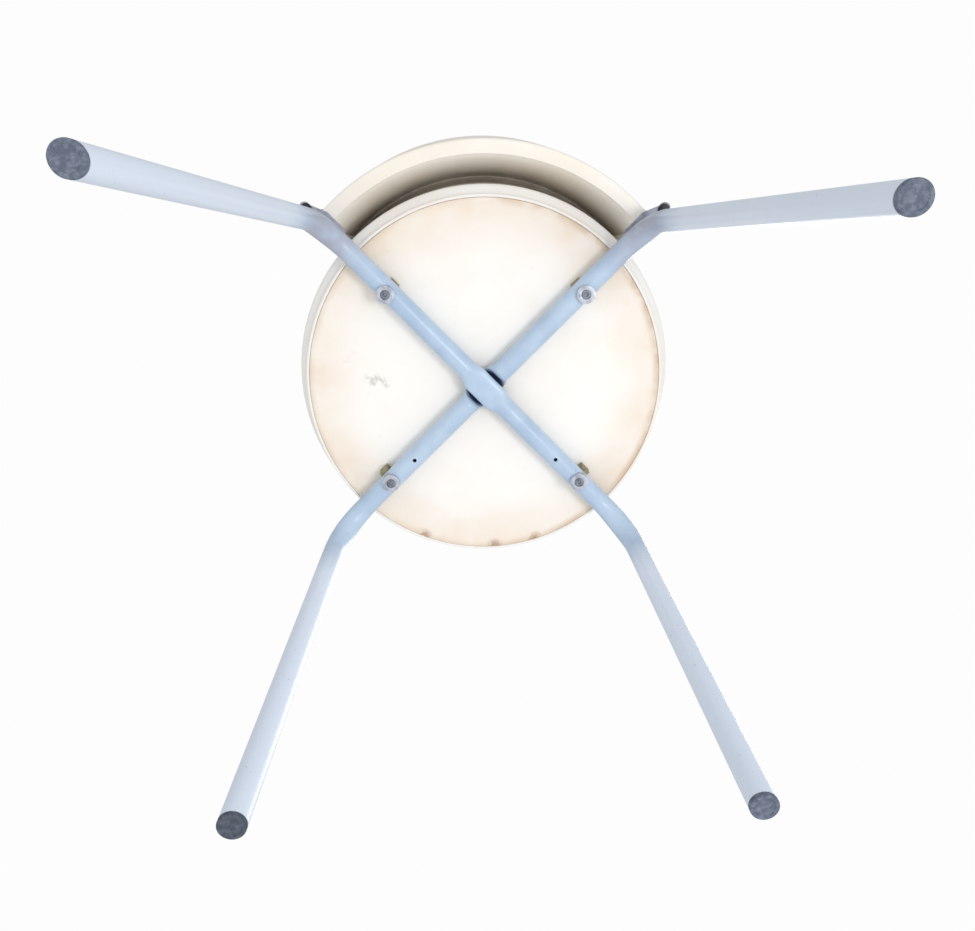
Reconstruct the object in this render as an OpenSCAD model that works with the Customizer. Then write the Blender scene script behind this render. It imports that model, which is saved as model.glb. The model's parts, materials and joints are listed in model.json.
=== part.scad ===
// Shower stool: a round moulded seat on two crossed bent-tube legs, with a low
// curved backrest carried on two short posts. +Z up, front is -Y, feet on z = 0.
// The origin is the middle of the feet's footprint on the floor.

/* [Seat] */
// Height of the seat's underside above the floor
underside_h = 420; // [400:1:440]
// Radius of the panel that closes the underside
base_r = 176.5; // [172:0.5:178]
// Thickness of the underside panel
base_t = 8; // [5:0.5:10]
// Widest radius of the seat, at the bulge of its rim
rim_r = 186; // [184:0.5:188]
// Radius of the rim's rounded bulge
rim_round = 11.5; // [10:0.5:13]
// Height from the underside to the top of the rim
seat_t = 32; // [30:0.5:36]
// Depth of the shallow dish in the top
dish = 3; // [1:0.5:5]
// Wall thickness of the moulded parts
shell_t = 3; // [2.5:0.5:4]
// Distance of the seat's centre behind the crossing of the legs
seat_y = 4; // [2:1:6]

/* [Legs] */
// Outside diameter of the leg tube
tube_d = 20; // [19:0.5:22]
// Wall thickness of the leg tube
tube_wall = 1.5; // [1:0.1:2]
// Space between the top of the tube and the seat
seat_gap = 3.5; // [2:0.5:5]
// Radius of the bends, on the tube's axis
bend_r = 50; // [45:1:55]
// Sideways distance of the rear bends from the middle
rear_bend_x = 155; // [150:1:158]
// Distance of the rear bends behind the middle
rear_bend_y = 160; // [156:1:163]
// Sideways distance of the front bends from the middle
front_bend_x = 148; // [145:1:152]
// Distance of the front bends in front of the middle
front_bend_y = 151; // [147:1:155]
// Rear left foot, sideways
rear_left_x = 220; // [215:1:225]
// Rear left foot, backwards
rear_left_y = 231; // [226:1:236]
// Rear right foot, sideways
rear_right_x = 212; // [207:1:217]
// Rear right foot, backwards
rear_right_y = 213; // [208:1:218]
// Front left foot, sideways
front_left_x = 174; // [169:1:179]
// Front left foot, forwards
front_left_y = 181; // [176:1:186]
// Front right foot, sideways
front_right_x = 173; // [168:1:178]
// Front right foot, forwards
front_right_y = 172; // [167:1:177]

/* [Crossing] */
// Width of each tube where it is pressed flat
flat_w = 26; // [24:0.5:28]
// Half length of the flat stretch
flat_half = 14; // [13:0.5:18]
// Half length of the pressed stretch, with its slopes
press_half = 30; // [26:1:36]

/* [Fixings] */
// Sideways and lengthways distance of the leg screws from the middle
screw_at = 94.5; // [90:0.5:98]
// Diameter of the leg screw's shank
screw_d = 5; // [4:0.5:6]
// Diameter of the leg screw's head
screw_head_d = 8.4; // [8:0.2:9]
// Outside diameter of the cup washer
washer_d = 17.5; // [16:0.5:18]
// Length of a saddle along its tube
saddle_l = 11; // [9:1:14]
// Reach of a saddle from the tube's axis, on the side towards the back
saddle_back = 13; // [12:0.5:15]
// Reach of a saddle from the tube's axis, on the side towards the front
saddle_front = 9; // [8:0.5:11]
// Distance of the drain holes in the front halves from the middle
drain_r = 101; // [98:1:104]
// Diameter of a drain hole
drain_d = 4; // [3:0.5:5]

/* [Feet] */
// Height of the foot's flange below the tube's end
foot_t = 4; // [3:0.5:6]
// Height to which the foot's plug reaches inside the tube
foot_plug_h = 20; // [14:1:26]

/* [Backrest] */
// Distance of the backrest's centre of curvature behind the crossing
back_y = 18; // [16:1:20]
// Outside radius of the backrest
back_r = 215; // [213:1:217]
// Thickness of its lower and upper edges
back_edge_t = 14; // [12:1:16]
// Reach of its front over the seat, beyond the edges
back_bulge = 30; // [26:1:31]
// Height of its lower edge above the floor
back_low = 440; // [436:1:444]
// Height of the backrest
back_h = 120; // [100:5:140]
// Angle from the middle to each end
back_half_angle = 50.5; // [50:0.5:52]

/* [Posts] */
// Diameter of the steel rod that makes a post
post_d = 10; // [9:0.5:11]
// Angle of the posts from the middle of the backrest
post_angle = 48; // [47:0.5:48.5]
// Height of a post's lower end
post_low = 408; // [407:0.5:409]
// Height of a post's upper end, inside the backrest
post_high = 532; // [520:1:536]
// Width of the bracket that carries a post on the leg
bracket_w = 26; // [24:0.5:30]
// Distance of the black plug at the bracket's outer end from the middle
plug_at = 239; // [236:0.5:242]
// Diameter of the black plug
plug_d = 12; // [11:0.5:14]

/* [Hidden] */
$fn = 96;

// Sides of the tubes, and steps in their bends
tube_sides = 32;
bend_steps = 10;
// Slack that lets a solid pass cleanly through another in a cut
slack = 1;
// Clearance round a plug or a screw
clear = 0.1;

tube_r = tube_d / 2;
tube_in_r = tube_r - tube_wall;
run_z = underside_h - seat_gap - tube_r;
flat_t = tube_r;

rear_left_bend = [rear_bend_x, rear_bend_y, run_z];
rear_right_bend = [-rear_bend_x, rear_bend_y, run_z];
front_left_bend = [front_bend_x, -front_bend_y, run_z];
front_right_bend = [-front_bend_x, -front_bend_y, run_z];
rear_left_foot = [rear_left_x, rear_left_y, 0];
rear_right_foot = [-rear_right_x, rear_right_y, 0];
front_left_foot = [front_left_x, -front_left_y, 0];
front_right_foot = [-front_right_x, -front_right_y, 0];

// Middle of the footprint, which becomes the origin
origin_x = (rear_left_x - rear_right_x) / 2;
origin_y = (rear_left_y - front_left_y) / 2;

// Bearing of the run from a front bend to the opposite rear bend
run_angle = atan2(rear_bend_y + front_bend_y, rear_bend_x + front_bend_x);
// Where the two runs cross
cross_y = rear_bend_y - rear_bend_x * tan(run_angle);

screw_places = [for (sx = [1, -1], sy = [1, -1]) [sx * screw_at, sy * screw_at]];
// The cup washer stands off the tube, and its floor carries the screw's head
washer_stand = 3.3;
washer_floor_t = 1.1;
washer_wrap = 4;
washer_low = run_z - tube_r - washer_stand;
washer_floor = run_z - tube_r - washer_floor_t;
head_sunk = 0.4;
head_low = washer_low + head_sunk;
head_play = 0.8;
hex_w = 4.6;
hex_deep = 1.2;
// Play of the screw's shank in the tube, the washer, the saddle and the panel
tube_play = 0.5;
panel_play = 1;
insert_d = 9;
insert_h = 16;
screw_short = 2;
boss_d = 16;
seat_top_z = underside_h + seat_t;
// Radial gap between the panel and the seat's lip, and the lip's rise above the underside
panel_gap = 0.4;
lip_rise = 1;
// Height above the tube's axis where the saddles start
saddle_low = 2;
// Side of the blocks that cut the tubes and the feet level
block = 100;

post_r = post_d / 2;
post_mid_r = back_r - back_edge_t / 2;
post_pad = 1.9;
bracket_low = 410;
bracket_t = 4;
bracket_inner = 198;
bracket_wide = 222;
bracket_end_w = 9;
plug_stem_d = 6;
plug_lip_d = 10;
plug_flange_t = 3;
plug_lip_t = 1.5;
back_screw_z = [470, 512];
back_screw_d = 4.5;
back_screw_bite = 3;
back_head_d = 9;
back_head_t = 2.4;
slot_w = 1;
slot_l = 4.8;
slot_deep = 1.4;
back_top = back_low + back_h;
back_inner_r = back_r - back_edge_t;
back_front_r = back_inner_r - back_bulge;
// Heights where the front wall ends below, where its rounded shoulder starts, and of the channel's roof
front_low = 458;
shoulder_z = 525;
roof_z = 500;
// The web climbs from the lower edge to the channel's roof
web_low = 442;
web_rise = 65;
web_reach = 24;
web_power = 1.3;
web_at_front = 0.34;
// Angles by which the closed hollow and the channel stop short of the ends
hollow_short = 1;
channel_short = 1.2;

function unit(v) = v / norm(v);

// ---- Shared shapes ----

// Moves everything from the crossing's frame to the footprint's frame
module placed() {
  translate([-origin_x, -origin_y, 0]) children();
}

// A straight rod from one point to another
module rod(a, b, r) {
  way = b - a;
  tilt = acos(way[2] / norm(way));
  bearing = atan2(way[1], way[0]);
  translate(a) rotate([0, tilt, bearing]) rotate([0, 0, 30]) cylinder(h = norm(way), r = r);
}

// Where a bend starts, on the way from a to the corner
function bend_start(a, corner, b) =
  let (turn = acos(unit(corner - a) * unit(b - corner)))
  corner - unit(corner - a) * bend_r * tan(turn / 2);

// A round bend at a corner on the way from a to b
module elbow(a, corner, b, r) {
  d0 = unit(corner - a);
  d1 = unit(b - corner);
  turn = acos(d0 * d1);
  axis = unit(cross(d0, d1));
  inward = cross(axis, d0);
  start = bend_start(a, corner, b);
  centre = start + inward * bend_r;
  multmatrix([[-inward[0], d0[0], axis[0], centre[0]],
              [-inward[1], d0[1], axis[1], centre[1]],
              [-inward[2], d0[2], axis[2], centre[2]],
              [0, 0, 0, 1]])
    rotate_extrude(angle = turn) translate([bend_r, 0]) circle(r = r);
}

// A leg from the floor up and round its bend, to a point of the run
module leg_rod(foot, corner, inner, r) {
  below = corner + (foot - corner) * 1.1;
  rod(below, bend_start(foot, corner, inner), r);
  elbow(foot, corner, inner, r);
  rod(bend_start(inner, corner, foot), inner, r);
}

// A number's power that keeps its sign
function keep_pow(x, power) = sign(x) * pow(abs(x), power);

// A station along a tube: its place, its direction, half width, half height,
// roundness power (1 is an ellipse, less is squarer) and lift
function station(p, way, half_w = tube_r, half_h = tube_r, power = 1, lift = 0) =
  [p, way, half_w, half_h, power, lift];

// Stations round the bend at a corner, on the way from a to b
function bend_stations(a, corner, b) =
  let (d0 = unit(corner - a),
       d1 = unit(b - corner),
       turn = acos(d0 * d1),
       inward = cross(unit(cross(d0, d1)), d0),
       centre = bend_start(a, corner, b) + inward * bend_r)
  [for (step = [0 : bend_steps])
    let (angle = turn * step / bend_steps)
    station(centre + bend_r * (d0 * sin(angle) - inward * cos(angle)),
            d0 * cos(angle) + inward * sin(angle))];

// Stations of the pressed stretch, which is flat on its upper or lower side
function press_stations(middle, along, above) =
  [for (pair = [[-1, 0], [-0.8, 0.3], [-0.6, 0.85], [-flat_half / press_half, 1],
                [flat_half / press_half, 1], [0.6, 0.85], [0.8, 0.3], [1, 0]])
    let (press = pair[1])
    station(middle + along * press_half * pair[0], along, tube_r + (flat_w / 2 - tube_r) * press,
            tube_r - flat_t / 2 * press, 1 - 0.35 * press, (above ? 0.5 : -0.5) * flat_t * press)];

// Points round one station, with the wall's thickness taken off
function ring(st, wall) =
  let (side = unit(cross(st[1], [0, 0, 1])), up = cross(side, st[1]))
  [for (k = [0 : tube_sides - 1])
    let (angle = 360 * k / tube_sides)
    st[0] + [0, 0, st[5]] + side * (st[2] - wall) * keep_pow(cos(angle), st[4])
      + up * (st[3] - wall) * keep_pow(sin(angle), st[4])];

// A tube's solid swept through its stations
module sweep(stations, wall) {
  last = len(stations) - 1;
  points = [for (st = stations) each ring(st, wall)];
  walls = [for (i = [0 : last - 1], k = [0 : tube_sides - 1])
    let (here = i * tube_sides, there = here + tube_sides, next = (k + 1) % tube_sides)
    each [[here + k, here + next, there + next], [here + k, there + next, there + k]]];
  caps = [[for (k = [tube_sides - 1 : -1 : 0]) k], [for (k = [0 : tube_sides - 1]) last * tube_sides + k]];
  polyhedron(points, concat(walls, caps));
}

// One bent tube: two legs and the run between them
module leg_tube(foot_a, bend_a, foot_b, bend_b, above) {
  middle = [0, cross_y, run_z];
  along = unit([bend_b[0] - bend_a[0], bend_b[1] - bend_a[1], 0]);
  below_a = bend_a + (foot_a - bend_a) * 1.05;
  below_b = bend_b + (foot_b - bend_b) * 1.05;
  stations = concat([station(below_a, unit(bend_a - foot_a))],
                    bend_stations(foot_a, bend_a, middle),
                    press_stations(middle, along, above),
                    bend_stations(middle, bend_b, foot_b),
                    [station(below_b, unit(foot_b - bend_b))]);
  difference() {
    sweep(stations, 0);
    sweep(stations, tube_wall);
    for (foot = [foot_a, foot_b])
      translate([foot[0], foot[1], foot_t - block / 2]) cube([block, block, block], center = true);
    screw_shanks(screw_d + tube_play);
    // Drain hole in the front half, through the lower wall
    translate([along[0] * drain_r * sign(-along[1]), -abs(along[1]) * drain_r, run_z]) mirror([0, 0, 1])
      cylinder(h = tube_d, d = drain_d, $fn = 24);
  }
}

// Shanks through the run of every leg, for screws and their holes
module screw_shanks(d) {
  for (place = screw_places)
    translate([place[0], place[1], run_z - tube_d]) cylinder(h = 2 * tube_d, d = d, $fn = 48);
}

// ---- Seat ----

// Half section of the seat's outside, from the axis to the lower lip, grown inwards by t
function seat_outline(t) =
  let (mid_r = rim_r - rim_round, mid_z = seat_top_z - rim_round)
  concat([[0, seat_top_z - dish - t]],
         [for (f = [0.3 : 0.1 : 0.9]) [mid_r * f, seat_top_z - t - dish * (1 + cos(180 * f)) / 2]],
         [for (a = [90 : -10 : -50]) [mid_r + (rim_round - t) * cos(a), mid_z + (rim_round - t) * sin(a)]]);

// Section of the seat's solid, down to its lip
function seat_solid() =
  concat(seat_outline(0), [[base_r + shell_t, underside_h + lip_rise], [0, underside_h + lip_rise]]);

// Section of the hollow inside the seat
function seat_hollow() =
  let (hollow_low = underside_h + base_t)
  concat(seat_outline(shell_t), [[base_r - shell_t, hollow_low], [0, hollow_low]]);

// Moulded seat: a dished shell with a rounded rim and four screw bosses
module seat_top() {
  boss_low = underside_h + base_t;
  color([0.96, 0.95, 0.92]) placed() translate([0, seat_y, 0]) difference() {
    union() {
      difference() {
        rotate_extrude() polygon(seat_solid());
        rotate_extrude() polygon(seat_hollow());
        translate([0, 0, underside_h]) cylinder(h = base_t, r = base_r + panel_gap);
      }
      for (place = screw_places)
        translate([place[0], place[1] - seat_y, boss_low])
          cylinder(h = seat_t - base_t - shell_t / 2, d = boss_d);
    }
    for (place = screw_places)
      translate([place[0], place[1] - seat_y, boss_low - slack]) cylinder(h = insert_h + slack, d = insert_d);
  }
}

// Round panel that closes the underside
module seat_base() {
  color([0.97, 0.95, 0.90]) placed() difference() {
    translate([0, seat_y, underside_h]) cylinder(h = base_t, r = base_r);
    for (place = screw_places)
      translate([place[0], place[1], underside_h - slack])
        cylinder(h = base_t + 2 * slack, d = screw_d + panel_play);
  }
}

// Threaded bushes in the seat's bosses
module seat_inserts() {
  color([0.80, 0.66, 0.35]) placed() for (place = screw_places)
    translate([place[0], place[1], underside_h + base_t]) difference() {
      cylinder(h = insert_h - clear, d = insert_d - 2 * clear);
      translate([0, 0, -slack]) cylinder(h = insert_h + 2 * slack, d = screw_d);
    }
}

// ---- Legs ----

// Tube from the rear left foot to the front right foot, which passes below
module leg_tube_lower() {
  color([0.72, 0.80, 0.90]) placed()
    leg_tube(rear_left_foot, rear_left_bend, front_right_foot, front_right_bend, false);
}

// Tube from the rear right foot to the front left foot, which passes above
module leg_tube_upper() {
  color([0.70, 0.78, 0.88]) placed()
    leg_tube(rear_right_foot, rear_right_bend, front_left_foot, front_left_bend, true);
}

// Round bar of the run that passes a screw, used to cut seats for the tube
module run_bar(place, r) {
  bearing = place[0] * place[1] > 0 ? run_angle : 180 - run_angle;
  translate([0, cross_y, run_z]) rotate([0, 90, bearing]) cylinder(h = 400, r = r, center = true);
}

// Saddle that seats the tube against the panel, reaching out further on its back side
module saddle(side_x, side_y) {
  place = [side_x * screw_at, side_y * screw_at];
  bearing = side_x * side_y > 0 ? run_angle : -run_angle;
  width = saddle_back + saddle_front;
  color([0.52, 0.49, 0.36]) placed() difference() {
    translate([place[0], place[1], run_z + saddle_low]) rotate([0, 0, bearing])
      translate([-saddle_l / 2, -saddle_front, 0])
        cube([saddle_l, width, underside_h - run_z - saddle_low]);
    run_bar(place, tube_r);
    screw_shanks(screw_d + panel_play);
  }
}
module saddle_rear_left() { saddle(1, 1); }
module saddle_rear_right() { saddle(-1, 1); }
module saddle_front_left() { saddle(1, -1); }
module saddle_front_right() { saddle(-1, -1); }

// Cup washers, hollowed to sit round the tube
module leg_washers() {
  color([0.82, 0.83, 0.84]) placed() for (place = screw_places) difference() {
    translate([place[0], place[1], washer_low])
      cylinder(h = run_z - washer_low - washer_wrap, d = washer_d);
    run_bar(place, tube_r);
    translate([place[0], place[1], washer_low - slack])
      cylinder(h = washer_floor - washer_low + slack, d = screw_head_d + head_play);
    screw_shanks(screw_d + tube_play);
  }
}

// Socket-head screws that clamp the tubes to the seat
module leg_screws() {
  shank_l = underside_h + base_t + insert_h - screw_short - head_low;
  color([0.45, 0.46, 0.48]) placed() for (place = screw_places)
    translate([place[0], place[1], head_low]) difference() {
      union() {
        cylinder(h = washer_floor - head_low, d = screw_head_d);
        cylinder(h = shank_l, d = screw_d);
      }
      translate([0, 0, -slack]) cylinder(h = slack + hex_deep, d = hex_w, $fn = 6);
    }
}

// The slice of a leg's axis rod between two heights
module leg_slice(foot, corner, r, low, high) {
  way = unit(corner - foot);
  difference() {
    rod(foot - way * 2 * tube_d, foot + way * 3 * tube_d, r);
    translate([foot[0], foot[1], low - block / 2]) cube([block, block, block], center = true);
    translate([foot[0], foot[1], high + block / 2]) cube([block, block, block], center = true);
  }
}

// Foot: a flange under the tube's end and a plug inside it
module foot(foot, corner) {
  color([0.36, 0.40, 0.46]) placed() {
    leg_slice(foot, corner, tube_r, 0, foot_t);
    leg_slice(foot, corner, tube_in_r - clear, foot_t / 2, foot_plug_h);
  }
}
module foot_rear_left() { foot(rear_left_foot, rear_left_bend); }
module foot_rear_right() { foot(rear_right_foot, rear_right_bend); }
module foot_front_left() { foot(front_left_foot, front_left_bend); }
module foot_front_right() { foot(front_right_foot, front_right_bend); }

// ---- Backrest ----

// A point of the web, from its foot at 0 to the channel's roof at 1
function web(share) = [back_inner_r - web_reach * share, web_low + web_rise * pow(share, web_power)];

// Rounded shoulder over the front wall, inset by t
function shoulder(t) =
  [for (a = [10 : 10 : 90])
    [back_inner_r - (back_bulge - t) * sin(a), shoulder_z + (back_top - t - shoulder_z) * cos(a)]];

// Section of the backrest without its hollows
function back_solid() =
  concat([[back_r, back_low], [back_r, back_top], [back_inner_r, back_top]], shoulder(0),
         [[back_front_r, front_low]], [for (f = [web_at_front, 0.2, 0.1, 0]) web(f)],
         [[back_inner_r, back_low]]);

// Section of the channel that is open below, between the front wall and the web
function back_channel() =
  concat([[back_front_r + shell_t, front_low - slack], [back_front_r + shell_t, roof_z]],
         [for (f = [1, 0.85, 0.7, 0.55, 0.42, web_at_front]) web(f)],
         [[web(web_at_front)[0], front_low - slack]]);

// Section of the closed hollow behind the web
function back_hollow() =
  concat([[back_r - shell_t, back_low + shell_t], [back_r - shell_t, back_top - shell_t],
          [back_inner_r, back_top - shell_t]], shoulder(shell_t),
         [[back_front_r + shell_t, web(1)[1] + shell_t + slack]],
         [for (f = [1, 0.85, 0.7, 0.55, 0.4, 0.25, 0.1])
           web(f) + [shell_t * (1.1 - 0.5 * pow(f, 6)), slack + shell_t * pow(f, 6)]],
         [[back_inner_r + shell_t, back_low + shell_t]]);

// A frame on the backrest's arc, X pointing away from its centre, at an angle from the middle
module on_arc(angle, r, z) {
  translate([0, back_y, z]) rotate([0, 0, 90 - angle]) translate([r, 0, 0]) children();
}

// A section swept round the backrest's arc, short of each end by an angle
module arc_band(outline, short) {
  translate([0, back_y, 0]) rotate([0, 0, 90 - back_half_angle + short])
    rotate_extrude(angle = 2 * (back_half_angle - short), $fn = 180) polygon(outline);
}

// Hollow moulded backrest, open below along a channel, with a solid boss round each post
module backrest() {
  boss_low = back_low + shell_t;
  color([0.96, 0.95, 0.92]) placed() difference() {
    arc_band(back_solid(), 0);
    arc_band(back_channel(), channel_short);
    difference() {
      arc_band(back_hollow(), hollow_short);
      for (side = [1, -1])
        on_arc(side * post_angle, post_mid_r, boss_low - slack)
          cylinder(h = post_high - boss_low + shell_t + slack, r = post_r + post_pad);
    }
    for (side = [1, -1]) {
      on_arc(side * post_angle, post_mid_r, back_low - slack)
        cylinder(h = post_high - back_low + slack, r = post_r + clear);
      for (z = back_screw_z)
        on_arc(side * post_angle, post_mid_r, z) rotate([0, 90, 0])
          cylinder(h = back_edge_t, d = back_screw_d + tube_play);
    }
  }
}

// Screws from behind, through the backrest into the posts
module backrest_screws() {
  head_at = back_r - post_mid_r;
  color([0.75, 0.76, 0.78]) placed() for (side = [1, -1], z = back_screw_z)
    on_arc(side * post_angle, post_mid_r, z) rotate([0, 90, 0]) difference() {
      union() {
        translate([0, 0, -back_screw_bite]) cylinder(h = head_at + back_screw_bite, d = back_screw_d);
        translate([0, 0, head_at]) cylinder(h = back_head_t, d1 = back_head_d, d2 = back_head_d - 3);
      }
      for (turn = [0, 90])
        rotate([0, 0, turn]) translate([-slot_l / 2, -slot_w / 2, head_at + back_head_t - slot_deep])
          cube([slot_l, slot_w, 2 * slot_deep]);
    }
}

// ---- Posts ----

// The outside of the rear leg on one side, for cutting the pieces that meet it
module rear_leg_bar(side) {
  corner = side > 0 ? rear_left_bend : rear_right_bend;
  foot = side > 0 ? rear_left_foot : rear_right_foot;
  leg_rod(foot, corner, [0, cross_y, run_z], tube_r);
}

// A frame on the run's line over a rear bend, X pointing outwards, at a distance from the middle
module on_run(side, r, z) {
  translate([0, cross_y, z]) rotate([0, 0, side > 0 ? run_angle : 180 - run_angle])
    translate([r, 0, 0]) children();
}

// Steel rod that stands on the bracket and reaches up inside the backrest
module post(side) {
  color([0.72, 0.80, 0.90]) placed() difference() {
    on_arc(side * post_angle, post_mid_r, post_low) cylinder(h = post_high - clear - post_low, r = post_r);
    for (z = back_screw_z)
      on_arc(side * post_angle, post_mid_r, z) rotate([0, 90, 0]) translate([0, 0, -back_screw_bite])
        cylinder(h = post_d, d = back_screw_d + 2 * clear);
  }
}
module post_left() { post(1); }
module post_right() { post(-1); }

// Flat bracket welded on top of the bend, narrowing to the plug at its outer end
module post_bracket(side) {
  half_w = bracket_w / 2;
  half_end = bracket_end_w / 2;
  outline = [[bracket_inner, -half_w], [bracket_wide, -half_w], [plug_at, -half_end],
             [plug_at, half_end], [bracket_wide, half_w], [bracket_inner, half_w]];
  color([0.62, 0.67, 0.74]) placed() difference() {
    union() {
      on_run(side, 0, bracket_low) linear_extrude(bracket_t) polygon(outline);
      on_run(side, plug_at, bracket_low) cylinder(h = bracket_t, d = bracket_end_w + 2);
    }
    on_run(side, plug_at, bracket_low - slack)
      cylinder(h = bracket_t + 2 * slack, d = plug_stem_d + 2 * clear);
    rear_leg_bar(side);
    on_arc(side * post_angle, post_mid_r, post_low) cylinder(h = tube_d, r = post_r);
  }
}
module post_bracket_left() { post_bracket(1); }
module post_bracket_right() { post_bracket(-1); }

// Black push-in plug at the bracket's outer end, with a flange below and a lip above
module post_plug(side) {
  color([0.10, 0.10, 0.11]) placed() {
    on_run(side, plug_at, bracket_low - plug_flange_t) cylinder(h = plug_flange_t, d = plug_d);
    on_run(side, plug_at, bracket_low - slack) cylinder(h = bracket_t + 2 * slack, d = plug_stem_d);
    on_run(side, plug_at, bracket_low + bracket_t) cylinder(h = plug_lip_t, d = plug_lip_d);
  }
}
module post_plug_left() { post_plug(1); }
module post_plug_right() { post_plug(-1); }

seat_top();
seat_base();
seat_inserts();
leg_tube_lower();
leg_tube_upper();
saddle_rear_left();
saddle_rear_right();
saddle_front_left();
saddle_front_right();
leg_washers();
leg_screws();
foot_rear_left();
foot_rear_right();
foot_front_left();
foot_front_right();
backrest();
backrest_screws();
post_left();
post_right();
post_bracket_left();
post_bracket_right();
post_plug_left();
post_plug_right();
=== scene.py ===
"""Looks of the shower stool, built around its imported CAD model."""

import json
import math

import bmesh
import bpy
from mathutils import Matrix, Vector


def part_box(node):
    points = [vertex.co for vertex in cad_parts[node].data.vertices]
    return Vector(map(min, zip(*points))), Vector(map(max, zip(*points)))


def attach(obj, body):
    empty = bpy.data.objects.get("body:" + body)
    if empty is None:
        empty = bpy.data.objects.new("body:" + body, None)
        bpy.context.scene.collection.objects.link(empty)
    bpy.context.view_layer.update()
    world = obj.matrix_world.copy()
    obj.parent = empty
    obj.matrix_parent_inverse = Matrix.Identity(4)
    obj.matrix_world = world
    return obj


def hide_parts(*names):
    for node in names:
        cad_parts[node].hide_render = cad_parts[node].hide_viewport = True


MM = 0.001
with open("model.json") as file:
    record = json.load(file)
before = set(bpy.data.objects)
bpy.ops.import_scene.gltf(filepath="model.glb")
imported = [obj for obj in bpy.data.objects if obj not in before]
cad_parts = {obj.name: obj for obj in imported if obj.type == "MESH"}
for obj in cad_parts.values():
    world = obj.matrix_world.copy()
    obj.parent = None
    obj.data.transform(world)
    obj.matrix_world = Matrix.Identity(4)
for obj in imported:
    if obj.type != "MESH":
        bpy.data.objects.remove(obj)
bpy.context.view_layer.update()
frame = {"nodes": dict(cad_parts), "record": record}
nodes = frame["nodes"]

# ---------------------------------------------------------------- driving places

WASHERS_LOW, WASHERS_HIGH = (Vector(corner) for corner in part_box("leg_washers"))
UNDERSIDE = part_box("seat_base")[0][2]
SEAT_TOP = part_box("seat_top")[1][2]
BACK_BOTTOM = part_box("backrest")[0][2]
BACK_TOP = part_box("backrest")[1][2]

# The legs cross under the middle of the four screws; places below are from there, in mm.
CROSS_X = (WASHERS_LOW.x + WASHERS_HIGH.x) / 2
CROSS_Y = (WASHERS_LOW.y + WASHERS_HIGH.y) / 2
WASHER_D = 17.5
SCREW_AT = ((WASHERS_HIGH.x - WASHERS_LOW.x) / MM - WASHER_D) / 2


def at(x, y, z):
    """A point given in mm from the crossing, as a vector in the frame."""
    return Vector((CROSS_X + x * MM, CROSS_Y + y * MM, z * MM))


FEET = {mount["name"][len("foot_"):-len("_face")]: Vector(mount["pos_m"])
        for mount in frame["record"]["mounts"]}
FOOT_FLANGE = 4 * MM

TUBE_R = 10 * MM
TUBE_WALL = 1.5 * MM
# Height of the runs' centre lines, below the saddles and the panel
RUN_Z = UNDERSIDE / MM - 13.5
BEND_R = 50 * MM
# Where the centre lines of the legs and runs meet
BENDS = {"rear_left": at(155, 160, RUN_Z), "rear_right": at(-155, 160, RUN_Z),
         "front_left": at(148, -151, RUN_Z), "front_right": at(-148, -151, RUN_Z)}
CROSSING = at(0, 0.9, RUN_Z)

# The panel's oval: y of its middle, half width and half depth
PANEL = (2, 174, 179)

# Centre of the backrest's arc, and the radii of its outside, of its rear edge's inside
# and of its front
BACK_MID_Y = 18
BACK_R = 215
BACK_INNER = 201
BACK_FRONT = 171

# At the crossing: half lengths of the flat and of the whole pressed stretch, and its width.
# The upper tube's stretch is a little shorter.
FLAT_HALF = 13 * MM
PRESS_HALF = 27 * MM
PRESS_HALF_UPPER = 22 * MM
FLAT_W = 26 * MM

SCREW_HOLE_R = 2.9 * MM
PANEL_HOLE_R = 3 * MM
DRAIN_R = 2 * MM
DRAIN_AT = 101 * MM


# ---------------------------------------------------------------- small tools

def smooth(low, high, value):
    """0 below low, 1 above high, and an S curve between."""
    share = min(1.0, max(0.0, (value - low) / (high - low)))
    return share * share * (3 - 2 * share)


def keep_pow(value, power):
    """A power of the size of a value, with its sign kept."""
    return math.copysign(abs(value) ** power, value)


def new_object(name, bm, smooth_angle=40):
    """A mesh object from a bmesh, shaded smooth with sharp edges kept."""
    bmesh.ops.recalc_face_normals(bm, faces=bm.faces)
    for face in bm.faces:
        face.smooth = True
    for edge in bm.edges:
        if len(edge.link_faces) == 2 and edge.calc_face_angle(0) > math.radians(smooth_angle):
            edge.smooth = False
    mesh = bpy.data.meshes.new(name)
    bm.to_mesh(mesh)
    bm.free()
    piece = bpy.data.objects.new(name, mesh)
    bpy.context.scene.collection.objects.link(piece)
    return piece


def loft(rings, closed_path=False):
    """A closed bmesh through rings of equally many points; a ring of one point is a pole."""
    bm = bmesh.new()
    made = [[bm.verts.new(point) for point in points] for points in rings]
    followers = made[1:] + made[:1] if closed_path else made[1:]
    for points, following in zip(made, followers):
        count = max(len(points), len(following))
        for k in range(count):
            n = (k + 1) % count
            corners = [points[k % len(points)], points[n % len(points)],
                       following[n % len(following)], following[k % len(following)]]
            bm.faces.new(list(dict.fromkeys(corners)))
    if not closed_path:
        for points in (made[0], made[-1]):
            if len(points) > 2:
                bm.faces.new(points)
    return bm


def cut(piece, cutters):
    """Takes cutter meshes out of a piece, for good."""
    for cutter in cutters:
        modifier = piece.modifiers.new("cut", "BOOLEAN")
        modifier.operation = "DIFFERENCE"
        modifier.solver = "EXACT"
        modifier.object = cutter
        apply_all(piece)
        bpy.data.objects.remove(cutter)


def apply_all(piece):
    """Bakes a piece's modifiers into its mesh."""
    graph = bpy.context.evaluated_depsgraph_get()
    mesh = bpy.data.meshes.new_from_object(piece.evaluated_get(graph))
    piece.modifiers.clear()
    old = piece.data
    piece.data = mesh
    bpy.data.meshes.remove(old)


def turns(count):
    """Equally spaced angles, once round."""
    return [2 * math.pi * k / count for k in range(count)]


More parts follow.
